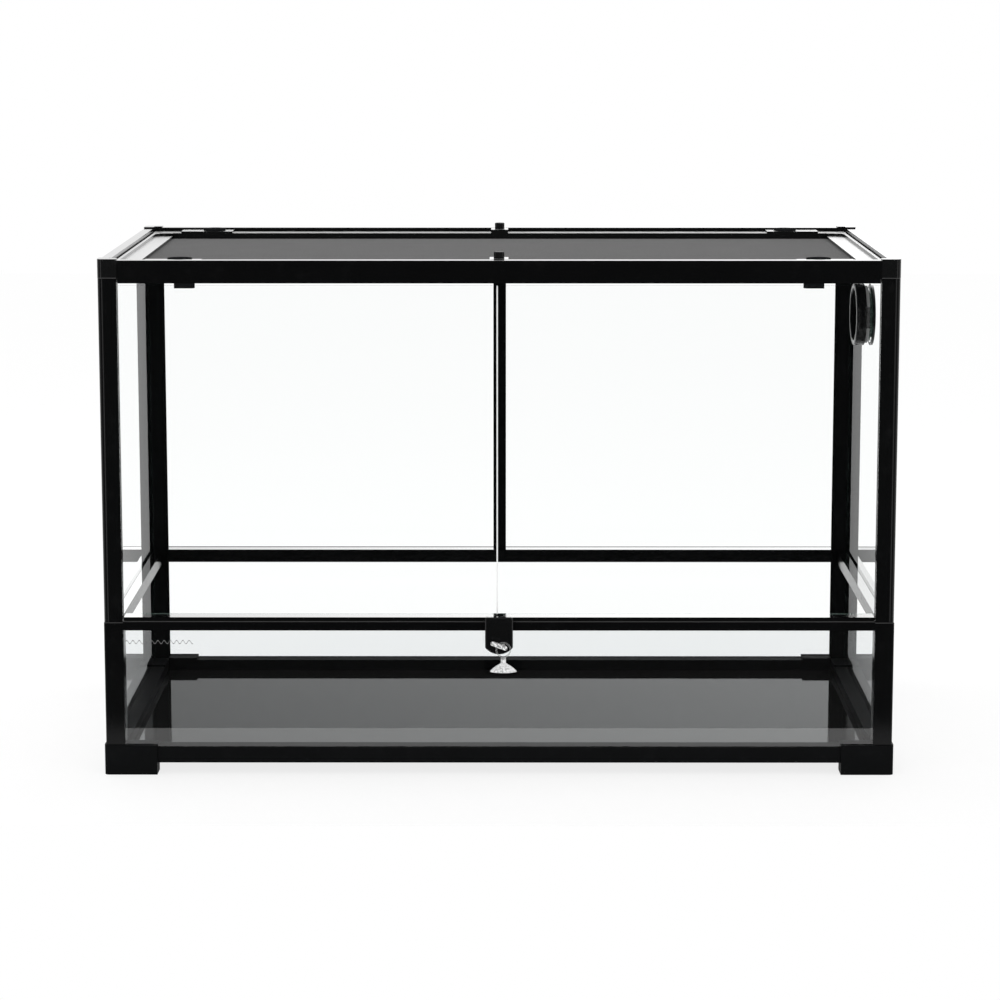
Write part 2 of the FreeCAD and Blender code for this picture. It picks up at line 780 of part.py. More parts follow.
# Doors: a stile that turns on two pins, with the glass in its slot
def make_door(side_name, side):
    x, y, sign_x, sign_y = corner_place(side, 1)
    bottom = s.seam_height + s.stile_gap
    height = cap_bottom - s.stile_gap - bottom
    glass_near = pivot - s.glass_thickness / 2
    glass_far = pivot + s.glass_thickness / 2
    wide = s.post_size
    slot_end = wide - s.glass_bite - s.glass_fit
    outline = [
        arc_to(pivot, ZERO, pivot, pivot, "x"),
        (wide, ZERO),
        (wide, glass_near - s.glass_fit),
        (slot_end, glass_near - s.glass_fit),
        (slot_end, glass_far + s.glass_fit),
        (wide, glass_far + s.glass_fit),
        (wide, s.stile_depth),
        (pivot, s.stile_depth),
    ]
    stile = new_body(f"{side_name}_door_stile", x, y, bottom)
    sketch = new_sketch(stile, "XY_Plane")
    draw(sketch, flipped(outline, sign_x, sign_y))
    pad(stile, sketch, height)
    for level, upwards in ((ZERO, True), (height, False)):
        bore = new_sketch(stile, "XY_Plane", level)
        draw_circle(bore, pivot * sign_x, pivot * sign_y, pin_radius + s.pin_run)
        pocket(stile, bore, s.pin_length, upwards=upwards)
    glass_bottom = front_mid_top + s.door_gap
    glass = new_body(f"{side_name}_door_glass", ZERO, front, glass_bottom)
    pane = new_sketch(glass, "XY_Plane")
    meeting = s.meeting_offset + s.meeting_gap / 2 * side
    draw(pane, rectangle(meeting, pane_x * side, glass_near, glass_far))
    pad(glass, pane, rail_bottom - s.door_gap - glass_bottom)


for side_name, side in SIDES:
    make_door(side_name, side)


# Lid: bars, end trays, screen, knobs and latches
lid_half = half_width - s.top_wall - s.lid_fit
lid_front = front + s.top_wall + s.lid_fit
lid_rear = rear - s.top_wall - s.lid_fit
lid_height = rail_top - s.lid_recess - ledge_top
screen_level = lid_height - s.screen_drop
bracket_height = s.lid_recess
latch_x = lid_half - s.latch_inset
latch_bore = s.shank_size * HALF_DIAGONAL + s.pin_run


def lid_slot(wide):
    """The slot along a lid member's inner edge that holds the screen."""
    inner = wide - s.screen_bite - s.glass_fit
    low = screen_level - s.pin_run
    high = screen_level + s.screen_thickness + s.pin_run
    return [(wide, low), (inner, low), (inner, high), (wide, high)]


def lid_section(wide):
    bend = s.edge_round
    return (
        [(ZERO, ZERO), (wide, ZERO)]
        + lid_slot(wide)
        + [(wide, lid_height), (bend, lid_height)]
        + [arc_to(ZERO, lid_height - bend, bend, lid_height - bend, "x")]
    )


def make_lid_bar(label, end):
    """A bar of the lid with raised bosses for its latches and a seat for its knob."""
    wide = s.lid_bar_width
    body = new_body(label, ZERO, lid_front if end > 0 else lid_rear, ledge_top)
    sketch = new_sketch(body, "YZ_Plane")
    draw(sketch, flipped(lid_section(wide), end))
    pad(body, sketch, lid_half * 2, both_ways=True)
    bosses = new_sketch(body, "XY_Plane", lid_height)
    for sign in (-1, 1):
        boss = rectangle(latch_x - s.boss_inward, latch_x + s.boss_outward, s.edge_round, wide)
        draw(bosses, flipped(boss, sign, end))
    pad(body, bosses, s.boss_height)
    seat = new_sketch(body, "XY_Plane", lid_height)
    half_seat = s.bracket_width / 2
    draw(seat, flipped(rectangle(-half_seat, half_seat, s.edge_round, wide), 1, end))
    pad(body, seat, bracket_height)
    bores = new_sketch(body, "XY_Plane")
    for sign in (-1, 1):
        draw_circle(bores, latch_x * sign, wide / 2 * end, latch_bore)
    pocket(body, bores, upwards=True)
    knob_socket = new_sketch(body, "XY_Plane", lid_height + bracket_height)
    draw(knob_socket, square(ZERO, wide / 2 * end, s.knob_peg + s.pin_seat * 2))
    pocket(body, knob_socket, s.knob_peg_length + s.pin_seat)


def make_lid_end(label, side):
    """An end tray of the lid: a rim outside, and a recess with rounded outer corners."""
    wide = s.lid_end_width
    length = lid_rear - lid_front - s.lid_bar_width * 2
    body = new_body(label, lid_half * side, lid_rear - s.lid_bar_width, ledge_top)
    sketch = new_sketch(body, "XZ_Plane")
    draw(sketch, flipped(lid_section(wide), -side))
    pad(body, sketch, length)
    near = -s.tray_margin
    far = s.tray_margin - length
    rim = s.tray_rim
    bend = s.tray_round
    outline = [
        (wide + BEYOND, near),
        (rim + bend, near),
        arc_to(rim, near - bend, rim + bend, near - bend, "x"),
        (rim, far + bend),
        arc_to(rim + bend, far, rim + bend, far + bend, "x"),
        (wide + BEYOND, far),
    ]
    tray = new_sketch(body, "XY_Plane", lid_height)
    draw(tray, flipped(outline, -side))
    pocket(body, tray, s.tray_depth)


for end_name, end in ENDS:
    make_lid_bar(f"lid_{end_name}_bar", end)
for side_name, side in SIDES:
    make_lid_end(f"lid_{side_name}_end", side)

screen = new_body("lid_screen", ZERO, ZERO, ledge_top + screen_level)
screen_x = lid_half - s.lid_end_width + s.screen_bite
screen_front = lid_front + s.lid_bar_width - s.screen_bite
screen_rear = lid_rear - s.lid_bar_width + s.screen_bite
screen_sketch = new_sketch(screen, "XY_Plane")
draw(screen_sketch, rectangle(-screen_x, screen_x, screen_front, screen_rear))
pad(screen, screen_sketch, s.screen_thickness)
# one column of openings, repeated across the lid
grid_left = s.screen_bite - screen_x
column = -grid_left * 2 / SCREEN_COLUMNS
row = (screen_rear - screen_front - s.screen_bite * 2) / SCREEN_ROWS
half_bar = s.screen_bar / 2
openings = new_sketch(screen, "XY_Plane", s.screen_thickness)
for index in range(SCREEN_ROWS):
    low = screen_front + s.screen_bite + row * index
    sides = grid_left + half_bar, grid_left + column - half_bar
    draw(openings, rectangle(*sides, low + half_bar, low + row - half_bar))
first_column = pocket(screen, openings)
columns = screen.newObject("PartDesign::LinearPattern", "lid_screen_columns")
columns.Originals = [first_column]
across = [feature for feature in screen.Origin.OriginFeatures if feature.Role == "X_Axis"]
columns.Direction = (across[0], [""])
columns.Occurrences = SCREEN_COLUMNS
columns.setExpression("Length", (column * (SCREEN_COLUMNS - 1)).text)
screen.Tip = columns


def make_knob(label, end):
    """A lifting knob on a square peg that is pressed into its bar."""
    middle = lid_front + s.lid_bar_width / 2 if end > 0 else lid_rear - s.lid_bar_width / 2
    body = new_body(label, ZERO, middle, ledge_top + lid_height + bracket_height, node=False)
    grip = new_sketch(body, "XY_Plane")
    draw_circle(grip, ZERO, ZERO, s.knob_diameter / 2)
    pad(body, grip, s.knob_height)
    peg = new_sketch(body, "XY_Plane")
    draw(peg, square(ZERO, ZERO, s.knob_peg))
    pad(body, peg, s.knob_peg_length, backwards=True)
    return body


group("lid_lift_knobs", [make_knob(f"lift_knob_{end_name}", end) for end_name, end in ENDS])


def make_lid_latch(label, side, end):
    """A quarter-turn latch: a slotted disc on a square shank, and a cam that turns under the rail."""
    y = lid_front + s.lid_bar_width / 2 if end > 0 else lid_rear - s.lid_bar_width / 2
    cam_bottom = rail_bottom - s.cam_gap - s.cam_height
    disc_bottom = ledge_top + lid_height + s.boss_height + s.disc_gap - cam_bottom
    latch = new_body(label, latch_x * side, y, cam_bottom)
    half_cam = s.cam_width / 2
    bevel = s.cam_bevel
    outline = [
        (-s.cam_heel, -half_cam),
        (s.cam_reach - bevel, -half_cam),
        (s.cam_reach, bevel - half_cam),
        (s.cam_reach, half_cam - bevel),
        (s.cam_reach - bevel, half_cam),
        (-s.cam_heel, half_cam),
    ]
    cam = new_sketch(latch, "XY_Plane")
    draw(cam, flipped(outline, -side))
    pad(latch, cam, s.cam_height)
    shank = new_sketch(latch, "XY_Plane", s.cam_height)
    draw(shank, square(ZERO, ZERO, s.shank_size))
    pad(latch, shank, disc_bottom - s.cam_height)
    disc = new_sketch(latch, "XY_Plane", disc_bottom)
    draw_circle(disc, ZERO, ZERO, s.disc_diameter / 2)
    pad(latch, disc, s.disc_thickness)
    coin = new_sketch(latch, "XY_Plane", disc_bottom + s.disc_thickness)
    half_length, half_slot = s.coin_slot_length / 2, s.coin_slot_width / 2
    draw(coin, rectangle(-half_length, half_length, -half_slot, half_slot))
    pocket(latch, coin, s.coin_slot_depth)


for end_name, end in ENDS:
    for side_name, side in SIDES:
        make_lid_latch(f"lid_latch_{end_name}_{side_name}", side, end)


# Door latch: a plate that slides on a dovetail guide
guide_bottom = front_mid_bottom + s.guide_above
guide_top = guide_bottom + s.guide_height
narrow = s.guide_narrow / 2
wider = s.guide_wide / 2
guide = new_body("latch_guide", ZERO, front, guide_bottom)
guide_sketch = new_sketch(guide, "XY_Plane")
draw(guide_sketch, [(-narrow, ZERO), (-wider, -s.guide_depth), (wider, -s.guide_depth), (narrow, ZERO)])
pad(guide, guide_sketch, s.guide_height)

catch_top = front_mid_top + s.catch_proud
catch_half = s.catch_width / 2
catch_back = front - s.catch_gap
catch_low = -s.catch_side
catch = new_body("latch_plate", ZERO, catch_back, catch_top)
catch_sketch = new_sketch(catch, "XZ_Plane")
# the lower edge is an arc through both corners that sags by catch_sag
catch_radius_value = (catch_half.value**2 + s.catch_sag.value**2) / (2 * s.catch_sag.value)
catch_radius_text = f"(({catch_half.text}) ^ 2 + sizes.catch_sag ^ 2) / (2 * sizes.catch_sag)"
catch_radius = Size(catch_radius_value, f"({catch_radius_text})")
catch_centre = catch_low - s.catch_sag + catch_radius
catch_outline = [
    (-catch_half, ZERO),
    (-catch_half, catch_low),
    arc_to(catch_half, catch_low, ZERO, catch_centre, "y"),
    (catch_half, ZERO),
]
draw(catch_sketch, catch_outline)
pad(catch, catch_sketch, s.catch_thickness)


def across_catch(edge):
    first, last = (vertex.Point for vertex in edge.Vertexes)
    return abs(abs(first.y - last.y) - s.catch_thickness.value) < 0.001


def on_catch_front(edge):
    return all(abs(v.Point.y + s.catch_thickness.value) < 0.001 for v in edge.Vertexes)


round_edges(catch, s.catch_corner, across_catch)
bevel_edges(catch, s.catch_bevel, on_catch_front)
groove_top = guide_top - catch_top + s.guide_fit
groove_length = s.guide_height + s.catch_travel + s.guide_fit * 2
groove = new_sketch(catch, "XY_Plane", groove_top)
groove_deep = s.guide_depth - s.catch_gap + s.guide_fit
groove_outline = [
    (-narrow - s.guide_fit, BEYOND / 10),
    (-wider - s.guide_fit, -groove_deep),
    (wider + s.guide_fit, -groove_deep),
    (narrow + s.guide_fit, BEYOND / 10),
]
draw(groove, groove_outline)
pocket(catch, groove, groove_length)
peg_radius = s.peg_diameter / 2
peg_socket = new_sketch(catch, "XZ_Plane", s.catch_thickness)
draw_circle(peg_socket, s.peg_place, -s.peg_drop, peg_radius + s.pin_seat)
pocket(catch, peg_socket, s.peg_root)

# Pull: a toggle on the latch plate, and the suction cup whose ring hangs on its peg
catch_face = catch_back - s.catch_thickness
peg_height = catch_top - s.peg_drop
toggle = new_body("pull_toggle", s.peg_place, catch_face + s.peg_root, peg_height)
peg_sketch = new_sketch(toggle, "XZ_Plane")
draw_circle(peg_sketch, ZERO, ZERO, peg_radius)
pad(toggle, peg_sketch, s.peg_root + s.peg_length)
bar_half = s.toggle_length / 2
bar_round = s.toggle_width / 2
bar_left = s.toggle_shift - bar_half + bar_round
bar_right = s.toggle_shift + bar_half - bar_round
bar_outline = [
    (bar_left, -bar_round),
    (bar_right, -bar_round),
    arc_to(bar_right, bar_round, bar_right, ZERO, "x"),
    (bar_left, bar_round),
]
bar_outline[0] = arc_to(bar_left, -bar_round, bar_left, ZERO, "x")
bar_sketch = new_sketch(toggle, "XZ_Plane", s.peg_root + s.peg_length)
draw(bar_sketch, bar_outline)
pad(toggle, bar_sketch, s.toggle_thickness)
turn(toggle, (0, 1, 0), s.toggle_tilt)

ring_centre = -(s.ring_inner / 2 - peg_radius - s.ring_hang)
ring_wall = (s.ring_outer - s.ring_inner) / 2
cup_top = ring_centre - s.ring_outer / 2 - s.neck_length
cup_rim = cup_top - s.cup_height


def many_sided(across):
    """An outline of the cup, as a regular polygon with flats to the front and rear."""
    angles = [math.tau * (corner + 0.5) / CUP_SIDES for corner in range(CUP_SIDES)]
    radius = across / 2
    return [(radius * round(math.cos(a), 6), radius * round(math.sin(a), 6)) for a in angles]


def on_cup_top(edge):
    return all(abs(v.Point.z - cup_top.value) < 0.001 for v in edge.Vertexes)


pull = new_body("suction_pull", s.peg_place, catch_face - s.ring_stand, peg_height)
cup_sketch = new_sketch(pull, "XY_Plane", cup_rim)
draw(cup_sketch, many_sided(s.cup_diameter))
pad(pull, cup_sketch, s.cup_height)
bevel_edges(pull, s.cup_slope, on_cup_top)
hollow = new_sketch(pull, "XY_Plane", cup_rim)
draw(hollow, many_sided(s.cup_hollow))
pocket(pull, hollow, s.cup_hollow_depth, upwards=True)
neck_sketch = new_sketch(pull, "XZ_Plane")
neck_half = s.neck_width / 2
neck_top = cup_top + s.neck_length + ring_wall / 2
draw(neck_sketch, rectangle(-neck_half, neck_half, cup_top - ring_wall / 2, neck_top))
pad(pull, neck_sketch, s.neck_thickness, both_ways=True)
ring_sketch = new_sketch(pull, "XZ_Plane")
draw_circle(ring_sketch, ZERO, ring_centre, s.ring_outer / 2)
draw_circle(ring_sketch, ZERO, ring_centre, s.ring_inner / 2)
pad(pull, ring_sketch, s.ring_thickness, both_ways=True)
turn(pull, (-1, 0, 0), s.pull_lean)

# Cable port in the right pane: flanged body, gasket, ring nut and half-moon shutter
pane_outside = half_width - s.glass_inset
pane_inside = pane_outside - s.glass_thickness
port_y = front + s.port_back


def half_moon(body, level, sign):
    """A half-moon window sketch above or below the port's axis."""
    sketch = new_sketch(body, "YZ_Plane", level)
    outer, inner = s.window_outer, s.window_inner
    outline = [
        (outer, inner),
        arc_to(-outer, inner, ZERO, inner, "y"),
    ]
    draw(sketch, flipped(outline, 1, sign))
    return sketch


port = new_body("port_body", pane_outside, port_y, port_height)
flange = new_sketch(port, "YZ_Plane")
draw_circle(flange, ZERO, ZERO, s.port_outer / 2)
pad(port, flange, s.port_flange)
tube = new_sketch(port, "YZ_Plane")
draw_circle(tube, ZERO, ZERO, port_radius)
draw_circle(tube, ZERO, ZERO, s.port_bore / 2)
pad(port, tube, s.glass_thickness + s.port_reach, backwards=True)
spindle_radius = s.spindle_diameter / 2
spindle_reach = s.shutter_thickness + s.shutter_gap * 2
spindle = new_sketch(port, "YZ_Plane")
draw_circle(spindle, ZERO, ZERO, spindle_radius)
pad(port, spindle, spindle_reach, backwards=True)
lip = new_sketch(port, "YZ_Plane", -spindle_reach)
draw_circle(lip, ZERO, ZERO, spindle_radius + s.spindle_lip)
pad(port, lip, s.spindle_lip_length, backwards=True)
pocket(port, half_moon(port, s.port_flange, -1))

shutter = new_body("port_shutter", pane_outside - s.shutter_gap, port_y, port_height)
shutter_disc = new_sketch(shutter, "YZ_Plane")
draw_circle(shutter_disc, ZERO, ZERO, s.port_bore / 2 - s.shutter_gap)
draw_circle(shutter_disc, ZERO, ZERO, spindle_radius + s.pin_run)
pad(shutter, shutter_disc, s.shutter_thickness, backwards=True)
pocket(shutter, half_moon(shutter, ZERO, 1))

gasket = new_body("port_gasket", pane_inside, port_y, port_height)
gasket_ring = new_sketch(gasket, "YZ_Plane")
draw_circle(gasket_ring, ZERO, ZERO, s.gasket_outer / 2)
draw_circle(gasket_ring, ZERO, ZERO, port_radius + s.port_fit)
pad(gasket, gasket_ring, s.gasket_thickness, backwards=True)

nut = new_body("port_ring_nut", pane_inside - s.gasket_thickness, port_y, port_height)
nut_length = s.nut_reach - s.gasket_thickness
nut_radius = s.port_outer / 2
nut_bore = port_radius + s.port_fit
ring_face = new_sketch(nut, "XY_Plane")
draw_circle(ring_face, ZERO, ZERO, nut_radius)
draw_circle(ring_face, ZERO, ZERO, nut_bore)
pad(nut, ring_face, nut_length)
lug_start = s.lug_gap - s.gasket_thickness
lug = new_sketch(nut, "XY_Plane", lug_start)
lug_half = s.lug_height / 2
lug_front = -nut_radius - s.lug_proud
draw(lug, rectangle(-lug_half, lug_half, lug_front, lug_front + s.lug_depth))
pad(nut, lug, nut_length - s.lug_inset - lug_start)
turn(nut, (0, -1, 0), as_size(90))

# Checks, then one file for each node
doc.recompute()
for thing in doc.Objects:
    if "Invalid" in thing.State or "Error" in thing.State:
        raise RuntimeError(f"{thing.Label} failed: {thing.State}")
os.makedirs("parts", exist_ok=True)
for node in nodes:
    if node.Shape.isNull() or not node.Shape.isValid():
        raise RuntimeError(f"{node.Label} has no valid shape")
for node in nodes:
    node.Shape.exportStep(f"parts/{node.Label}.step")
print(f"{len(nodes)} nodes, {sum(len(node.Shape.Solids) for node in nodes)} solids")
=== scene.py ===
"""Looks of the glass terrarium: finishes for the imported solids, the woven screen and small trim."""
import json
import math

import bmesh
import bpy
from mathutils import Matrix, Vector


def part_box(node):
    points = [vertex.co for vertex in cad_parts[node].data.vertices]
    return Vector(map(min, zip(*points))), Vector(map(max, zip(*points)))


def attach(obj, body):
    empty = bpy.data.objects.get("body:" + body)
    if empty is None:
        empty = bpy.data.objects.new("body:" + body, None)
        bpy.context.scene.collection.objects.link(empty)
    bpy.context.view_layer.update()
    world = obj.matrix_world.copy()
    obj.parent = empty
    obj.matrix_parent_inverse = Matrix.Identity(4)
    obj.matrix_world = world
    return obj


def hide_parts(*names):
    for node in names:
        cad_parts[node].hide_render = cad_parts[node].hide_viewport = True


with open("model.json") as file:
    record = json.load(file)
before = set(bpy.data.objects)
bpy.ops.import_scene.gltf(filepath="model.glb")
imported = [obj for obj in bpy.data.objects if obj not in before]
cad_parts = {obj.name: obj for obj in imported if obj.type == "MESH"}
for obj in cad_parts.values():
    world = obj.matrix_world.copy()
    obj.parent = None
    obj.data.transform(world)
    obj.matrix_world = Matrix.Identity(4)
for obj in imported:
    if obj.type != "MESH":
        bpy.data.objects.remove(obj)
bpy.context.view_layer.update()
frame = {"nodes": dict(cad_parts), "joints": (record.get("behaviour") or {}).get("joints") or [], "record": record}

# Lengths are in metres and angles in degrees, unless a comment says otherwise
MM = 0.001
CASE_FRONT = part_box("front_mid_rail")[0].y
WHITE = (1.0, 1.0, 1.0, 1.0)


class Value:
    """A shader socket that takes part in Python expressions."""

    def __init__(self, finish, socket):
        self.finish = finish
        self.socket = socket

    def math(self, operation, first, second):
        return self.finish.node("ShaderNodeMath", {"operation": operation}, {0: first, 1: second})

    def __add__(self, other):
        return self.math("ADD", self, other)

    def __radd__(self, other):
        return self.math("ADD", other, self)

    def __sub__(self, other):
        return self.math("SUBTRACT", self, other)

    def __rsub__(self, other):
        return self.math("SUBTRACT", other, self)

    def __mul__(self, other):
        return self.math("MULTIPLY", self, other)

    def __rmul__(self, other):
        return self.math("MULTIPLY", other, self)

    def __lt__(self, other):
        return self.math("LESS_THAN", self, other)

    def __abs__(self):
        return self.finish.node("ShaderNodeMath", {"operation": "ABSOLUTE"}, {0: self})


class Finish:
    """A node material or world, built node by node."""

    def __init__(self, holder, output):
        holder.use_nodes = True
        self.holder = holder
        self.tree = holder.node_tree
        self.tree.nodes.clear()
        self.output = self.tree.nodes.new(output)

    def node(self, kind, settings=None, sockets=None, out=0):
        """Adds a node: its type, its settings, then the values or links of its sockets."""
        node = self.tree.nodes.new(kind)
        for name, setting in (settings or {}).items():
            setattr(node, name, setting)
        for name, value in (sockets or {}).items():
            if isinstance(value, Value):
                self.tree.links.new(value.socket, node.inputs[name])
            else:
                node.inputs[name].default_value = value
        return Value(self, node.outputs[out])

    def show(self, shader):
        self.tree.links.new(shader.socket, self.output.inputs["Surface"])
        return self.holder

    def place(self):
        return self.node("ShaderNodeTexCoord", out="Object")

    def facing(self):
        return self.node("ShaderNodeTexCoord", out="Normal")

    def along(self, axis, vector=None):
        """One coordinate of a vector, or of the place on the piece."""
        return self.node("ShaderNodeSeparateXYZ", None, {0: vector or self.place()}, out=axis)

    def noise(self, scale, detail=3.0, roughness=0.5, stretch=None):
        """Noise over the piece, in features per metre, stretched along an axis if asked."""
        where = self.place()
        if stretch:
            where = self.node("ShaderNodeMapping", None, {"Vector": where, "Scale": stretch})
        sockets = {"Vector": where, "Scale": scale, "Detail": detail, "Roughness": roughness}
        return self.node("ShaderNodeTexNoise", None, sockets)

    def ramp(self, factor, low, high, first=0.0, last=1.0):
        """A clamped run of factor between low and high, from first to last."""
        sockets = {"Value": factor, "From Min": low, "From Max": high, "To Min": first, "To Max": last}
        return self.node("ShaderNodeMapRange", {"clamp": True}, sockets)

    def fall(self, factor, low, high):
        """One where factor is below low, nought where it is above high."""
        return self.ramp(factor, low, high, first=1.0, last=0.0)

    def blend(self, factor, first, second):
        """A colour between two."""
        return self.node("ShaderNodeMix", {"data_type": "RGBA"}, {0: factor, 6: first, 7: second}, out=2)

    def mix(self, factor, first, second):
        """A shader between two."""
        return self.node("ShaderNodeMixShader", None, {0: factor, 1: first, 2: second})

    def bump(self, height, strength, distance):
        sockets = {"Height": height, "Strength": strength, "Distance": distance}
        return self.node("ShaderNodeBump", None, sockets)

    def surface(self, sockets):
        return self.node("ShaderNodeBsdfPrincipled", None, sockets)

    def mirror(self, roughness):
        return self.node("ShaderNodeBsdfGlossy", None, {"Color": WHITE, "Roughness": roughness})

    def clear(self, tint):
        return self.node("ShaderNodeBsdfTransparent", None, {"Color": tint})

    def glancing(self, ior):
        """The share of light that a smooth face mirrors at the angle it is seen from."""
        return self.node("ShaderNodeFresnel", None, {"IOR": ior})

    def ray(self, kind):
        return self.node("ShaderNodeLightPath", out=f"Is {kind} Ray")


def new_finish(name):
    return Finish(bpy.data.materials.new(name), "ShaderNodeOutputMaterial")


def grey(level, warmth=0.0):
    """An opaque grey, a little blue where warmth is negative."""
    return (level * (1 + warmth), level, level * (1 - warmth), 1.0)


# Finishes
COAT_IOR = 1.5
GRAIN_DEPTH = 0.06 * MM
# The grey of the painted highlight lines at seams and steps, and how they fade
PAINTED_HIGHLIGHT_GREY = 0.05
PAINTED_HIGHLIGHT_FADE = (0.3 * MM, 0.7 * MM)


def coated_black(name, level, rough, grain, rub, sheen, polish=0.0, blur=0.04, edge=None):
    """Black coat over metal or a moulding: fine grain, faint cloudiness and rubbed patches.

    Level is how light the black is, rough how matt it is, grain how far the grain stands out, and
    rub how much more matt the rubbed patches are. Sheen is how strongly the coat itself shines.
    Polish is how much of the room the upper faces mirror at a low angle, and blur how softly.
    Edge is the height of a painted highlight: a thin band of the coat painted grey there, for the light that a
    seam or a step catches.
    """
    finish = new_finish(name)
    cloud = finish.noise(scale=14.0, detail=4.0)
    scuff = finish.ramp(finish.noise(scale=55.0, detail=6.0, roughness=0.65), 0.56, 0.74)
    grains = finish.noise(scale=1400.0, detail=2.0)
    colour = finish.blend(cloud * 0.6 + scuff * 0.4, grey(level, -0.06), grey(level * 1.9, -0.05))
    # A painted highlight: a thin grey band at the edge's height, where a seam or a step catches light
    if edge:
        painted_highlight = finish.fall(abs(finish.along("Z") - edge), *PAINTED_HIGHLIGHT_FADE)
        colour = finish.blend(painted_highlight, colour, grey(PAINTED_HIGHLIGHT_GREY))
    coat = finish.surface({
        "Base Color": colour,
        "Roughness": rough + cloud * 0.06 + scuff * rub,
        "Normal": finish.bump(grains, grain, GRAIN_DEPTH),
        "Specular IOR Level": sheen,
    })
    if not polish:
        return finish.show(coat)
    mirror = finish.mirror(blur + scuff * 0.1)
    upward = finish.ramp(finish.along("Z", finish.facing()), 0.6, 0.9)
    share = upward * finish.ramp(finish.glancing(COAT_IOR), 0.06, 0.27, last=polish)
    return finish.show(finish.mix(share, coat, mirror))


PATCH_FADE = (0.8, 1.1)


def bare_patch(finish, axis, middle, height, reach, rise, slope=0.0):
    """Nought within a rounded patch about a middle and a height, and one outside it.

    Reach and rise are the patch's half length and half height, and slope tilts it along its length.
    """
    run = finish.along(axis) - middle
    flat = run * (1 / reach)
    upright = (finish.along("Z") - height - run * slope) * (1 / rise)
    flat, upright = flat * flat, upright * upright
    return finish.ramp(flat * flat + upright * upright, *PATCH_FADE)


GLASS_IOR = 1.45
CLEAR_TINT = (0.997, 1.0, 0.999, 1.0)
# The lower front pane is greyer to see through and mirrors more strongly than the other panes
GREYER_TINT = (0.951, 0.961, 0.964, 1.0)
CLEAR_SHEEN = 0.2
STRONGER_SHEEN = 2.2
GLANCING_SHEEN = 2.9
GROUND_GREENS = ((0.20, 0.42, 0.34, 1.0), (0.45, 0.64, 0.56, 1.0))
GROUND_ALPHA = 0.18


def pane_glass(name, edge_axis, sheen=CLEAR_SHEEN, tint=CLEAR_TINT, patch=None):
    """Clear float glass: mirrored by its angle, with green ground edges across edge_axis.

    A patch, as the values of bare_patch, is glass that mirrors nothing.
    """
    finish = new_finish(name)
    smear = finish.ramp(finish.noise(scale=9.0, detail=5.0, roughness=0.6), 0.5, 0.8, last=0.03)
    behind = finish.node("ShaderNodeNewGeometry", out="Backfacing")
    angle = finish.glancing(GLASS_IOR)
    share = angle * (sheen + GLANCING_SHEEN * angle) * (1 - behind)
    if patch:
        share = share * bare_patch(finish, **patch)
    face = finish.mix(share, finish.clear(tint), finish.mirror(smear))
    edge = abs(finish.along(edge_axis, finish.facing())) < 0.5
    streak = finish.noise(scale=240.0, stretch=(1.0, 1.0, 0.1))
    ground = finish.surface({
        "Base Color": finish.blend(streak, *GROUND_GREENS),
        "Roughness": 0.3 + streak * 0.2,
        "Alpha": GROUND_ALPHA,
    })
    return finish.show(finish.mix(edge, face, ground))


SHEET_IOR = 1.2
SHEET_SHINE = (0.93, 1.0, 1.0, 1.0)


def floor_sheet():
    """Glossy black sheet with a faint haze and fine wipe marks."""
    finish = new_finish("floor_sheet")
    haze = finish.noise(scale=6.0, detail=4.0)
    wiped = finish.noise(scale=120.0, detail=4.0, roughness=0.6, stretch=(0.12, 1.0, 1.0))
    return finish.show(finish.surface({
        "Base Color": finish.blend(haze, grey(0.006), grey(0.010)),
        "Roughness": 0.03 + haze * 0.03 + finish.ramp(wiped, 0.55, 0.75) * 0.05,
        "IOR": SHEET_IOR,
        "Specular Tint": SHEET_SHINE,
    }))


def screen_wire():
    """Dark painted wire, a little polished on its crowns."""
    finish = new_finish("screen_wire")
    patch = finish.noise(scale=30.0)
    fleck = finish.noise(scale=2600.0, detail=2.0)
    return finish.show(finish.surface({
        "Base Color": finish.blend(patch * 0.25 + fleck * 0.75, grey(0.12), grey(0.20)),
        "Roughness": 0.45 + fleck * 0.16,
        "Metallic": 0.2,
    }))


VINYL_TINT = (0.96, 0.98, 0.97, 1.0)
FLOW_DEPTH = 0.4 * MM
MOST_MILK_AND_SHEEN = 0.95


def clear_vinyl(name, milk_and_sheen_to, clear_from, marks=0.6, haze=0.65):
    """Soft clear vinyl with flow marks: outlined where it is seen edge on, and below a height partly milky and
    partly painted bright, a near-white body in place of the light it catches from above.

    Marks is the grey of the darkest flow marks, and haze the least share of that milk and painted sheen.
    """
    finish = new_finish(name)
    flow = finish.noise(scale=420.0, roughness=0.55)
    streak = finish.ramp(flow, 0.4, 0.56)
    # Milk and painted sheen: below the height the vinyl turns a near-white body, partly real milkiness and partly
    # a painted reflection of the light above
    milk_and_sheen = finish.fall(finish.along("Z"), milk_and_sheen_to, clear_from)
    rim = finish.node("ShaderNodeLayerWeight", None, {"Blend": 0.5}, out="Facing")
    body = finish.surface({
        "Base Color": finish.blend(milk_and_sheen, grey(0.42), finish.blend(streak, grey(marks), grey(0.97))),
        "Roughness": 0.12 + flow * 0.12,
        "Normal": finish.bump(flow, 0.35, FLOW_DEPTH),
    })
    outline = finish.ramp(rim, 0.1, 0.4, first=0.12, last=0.95)
    cloud = milk_and_sheen * (haze + streak * (MOST_MILK_AND_SHEEN - haze))
    return finish.show(finish.mix(outline + cloud * (1 - outline), finish.clear(VINYL_TINT), body))


DUST_DEPTH = 0.1 * MM


def gasket_rubber():
    """Dusty grey rubber."""
    finish = new_finish("gasket_rubber")
    dust = finish.noise(scale=300.0, detail=4.0)
    return finish.show(finish.surface({
        "Base Color": finish.blend(dust, grey(0.17), grey(0.24)),
        "Roughness": 0.6 + dust * 0.25,
        "Normal": finish.bump(dust, 0.3, DUST_DEPTH),
    }))


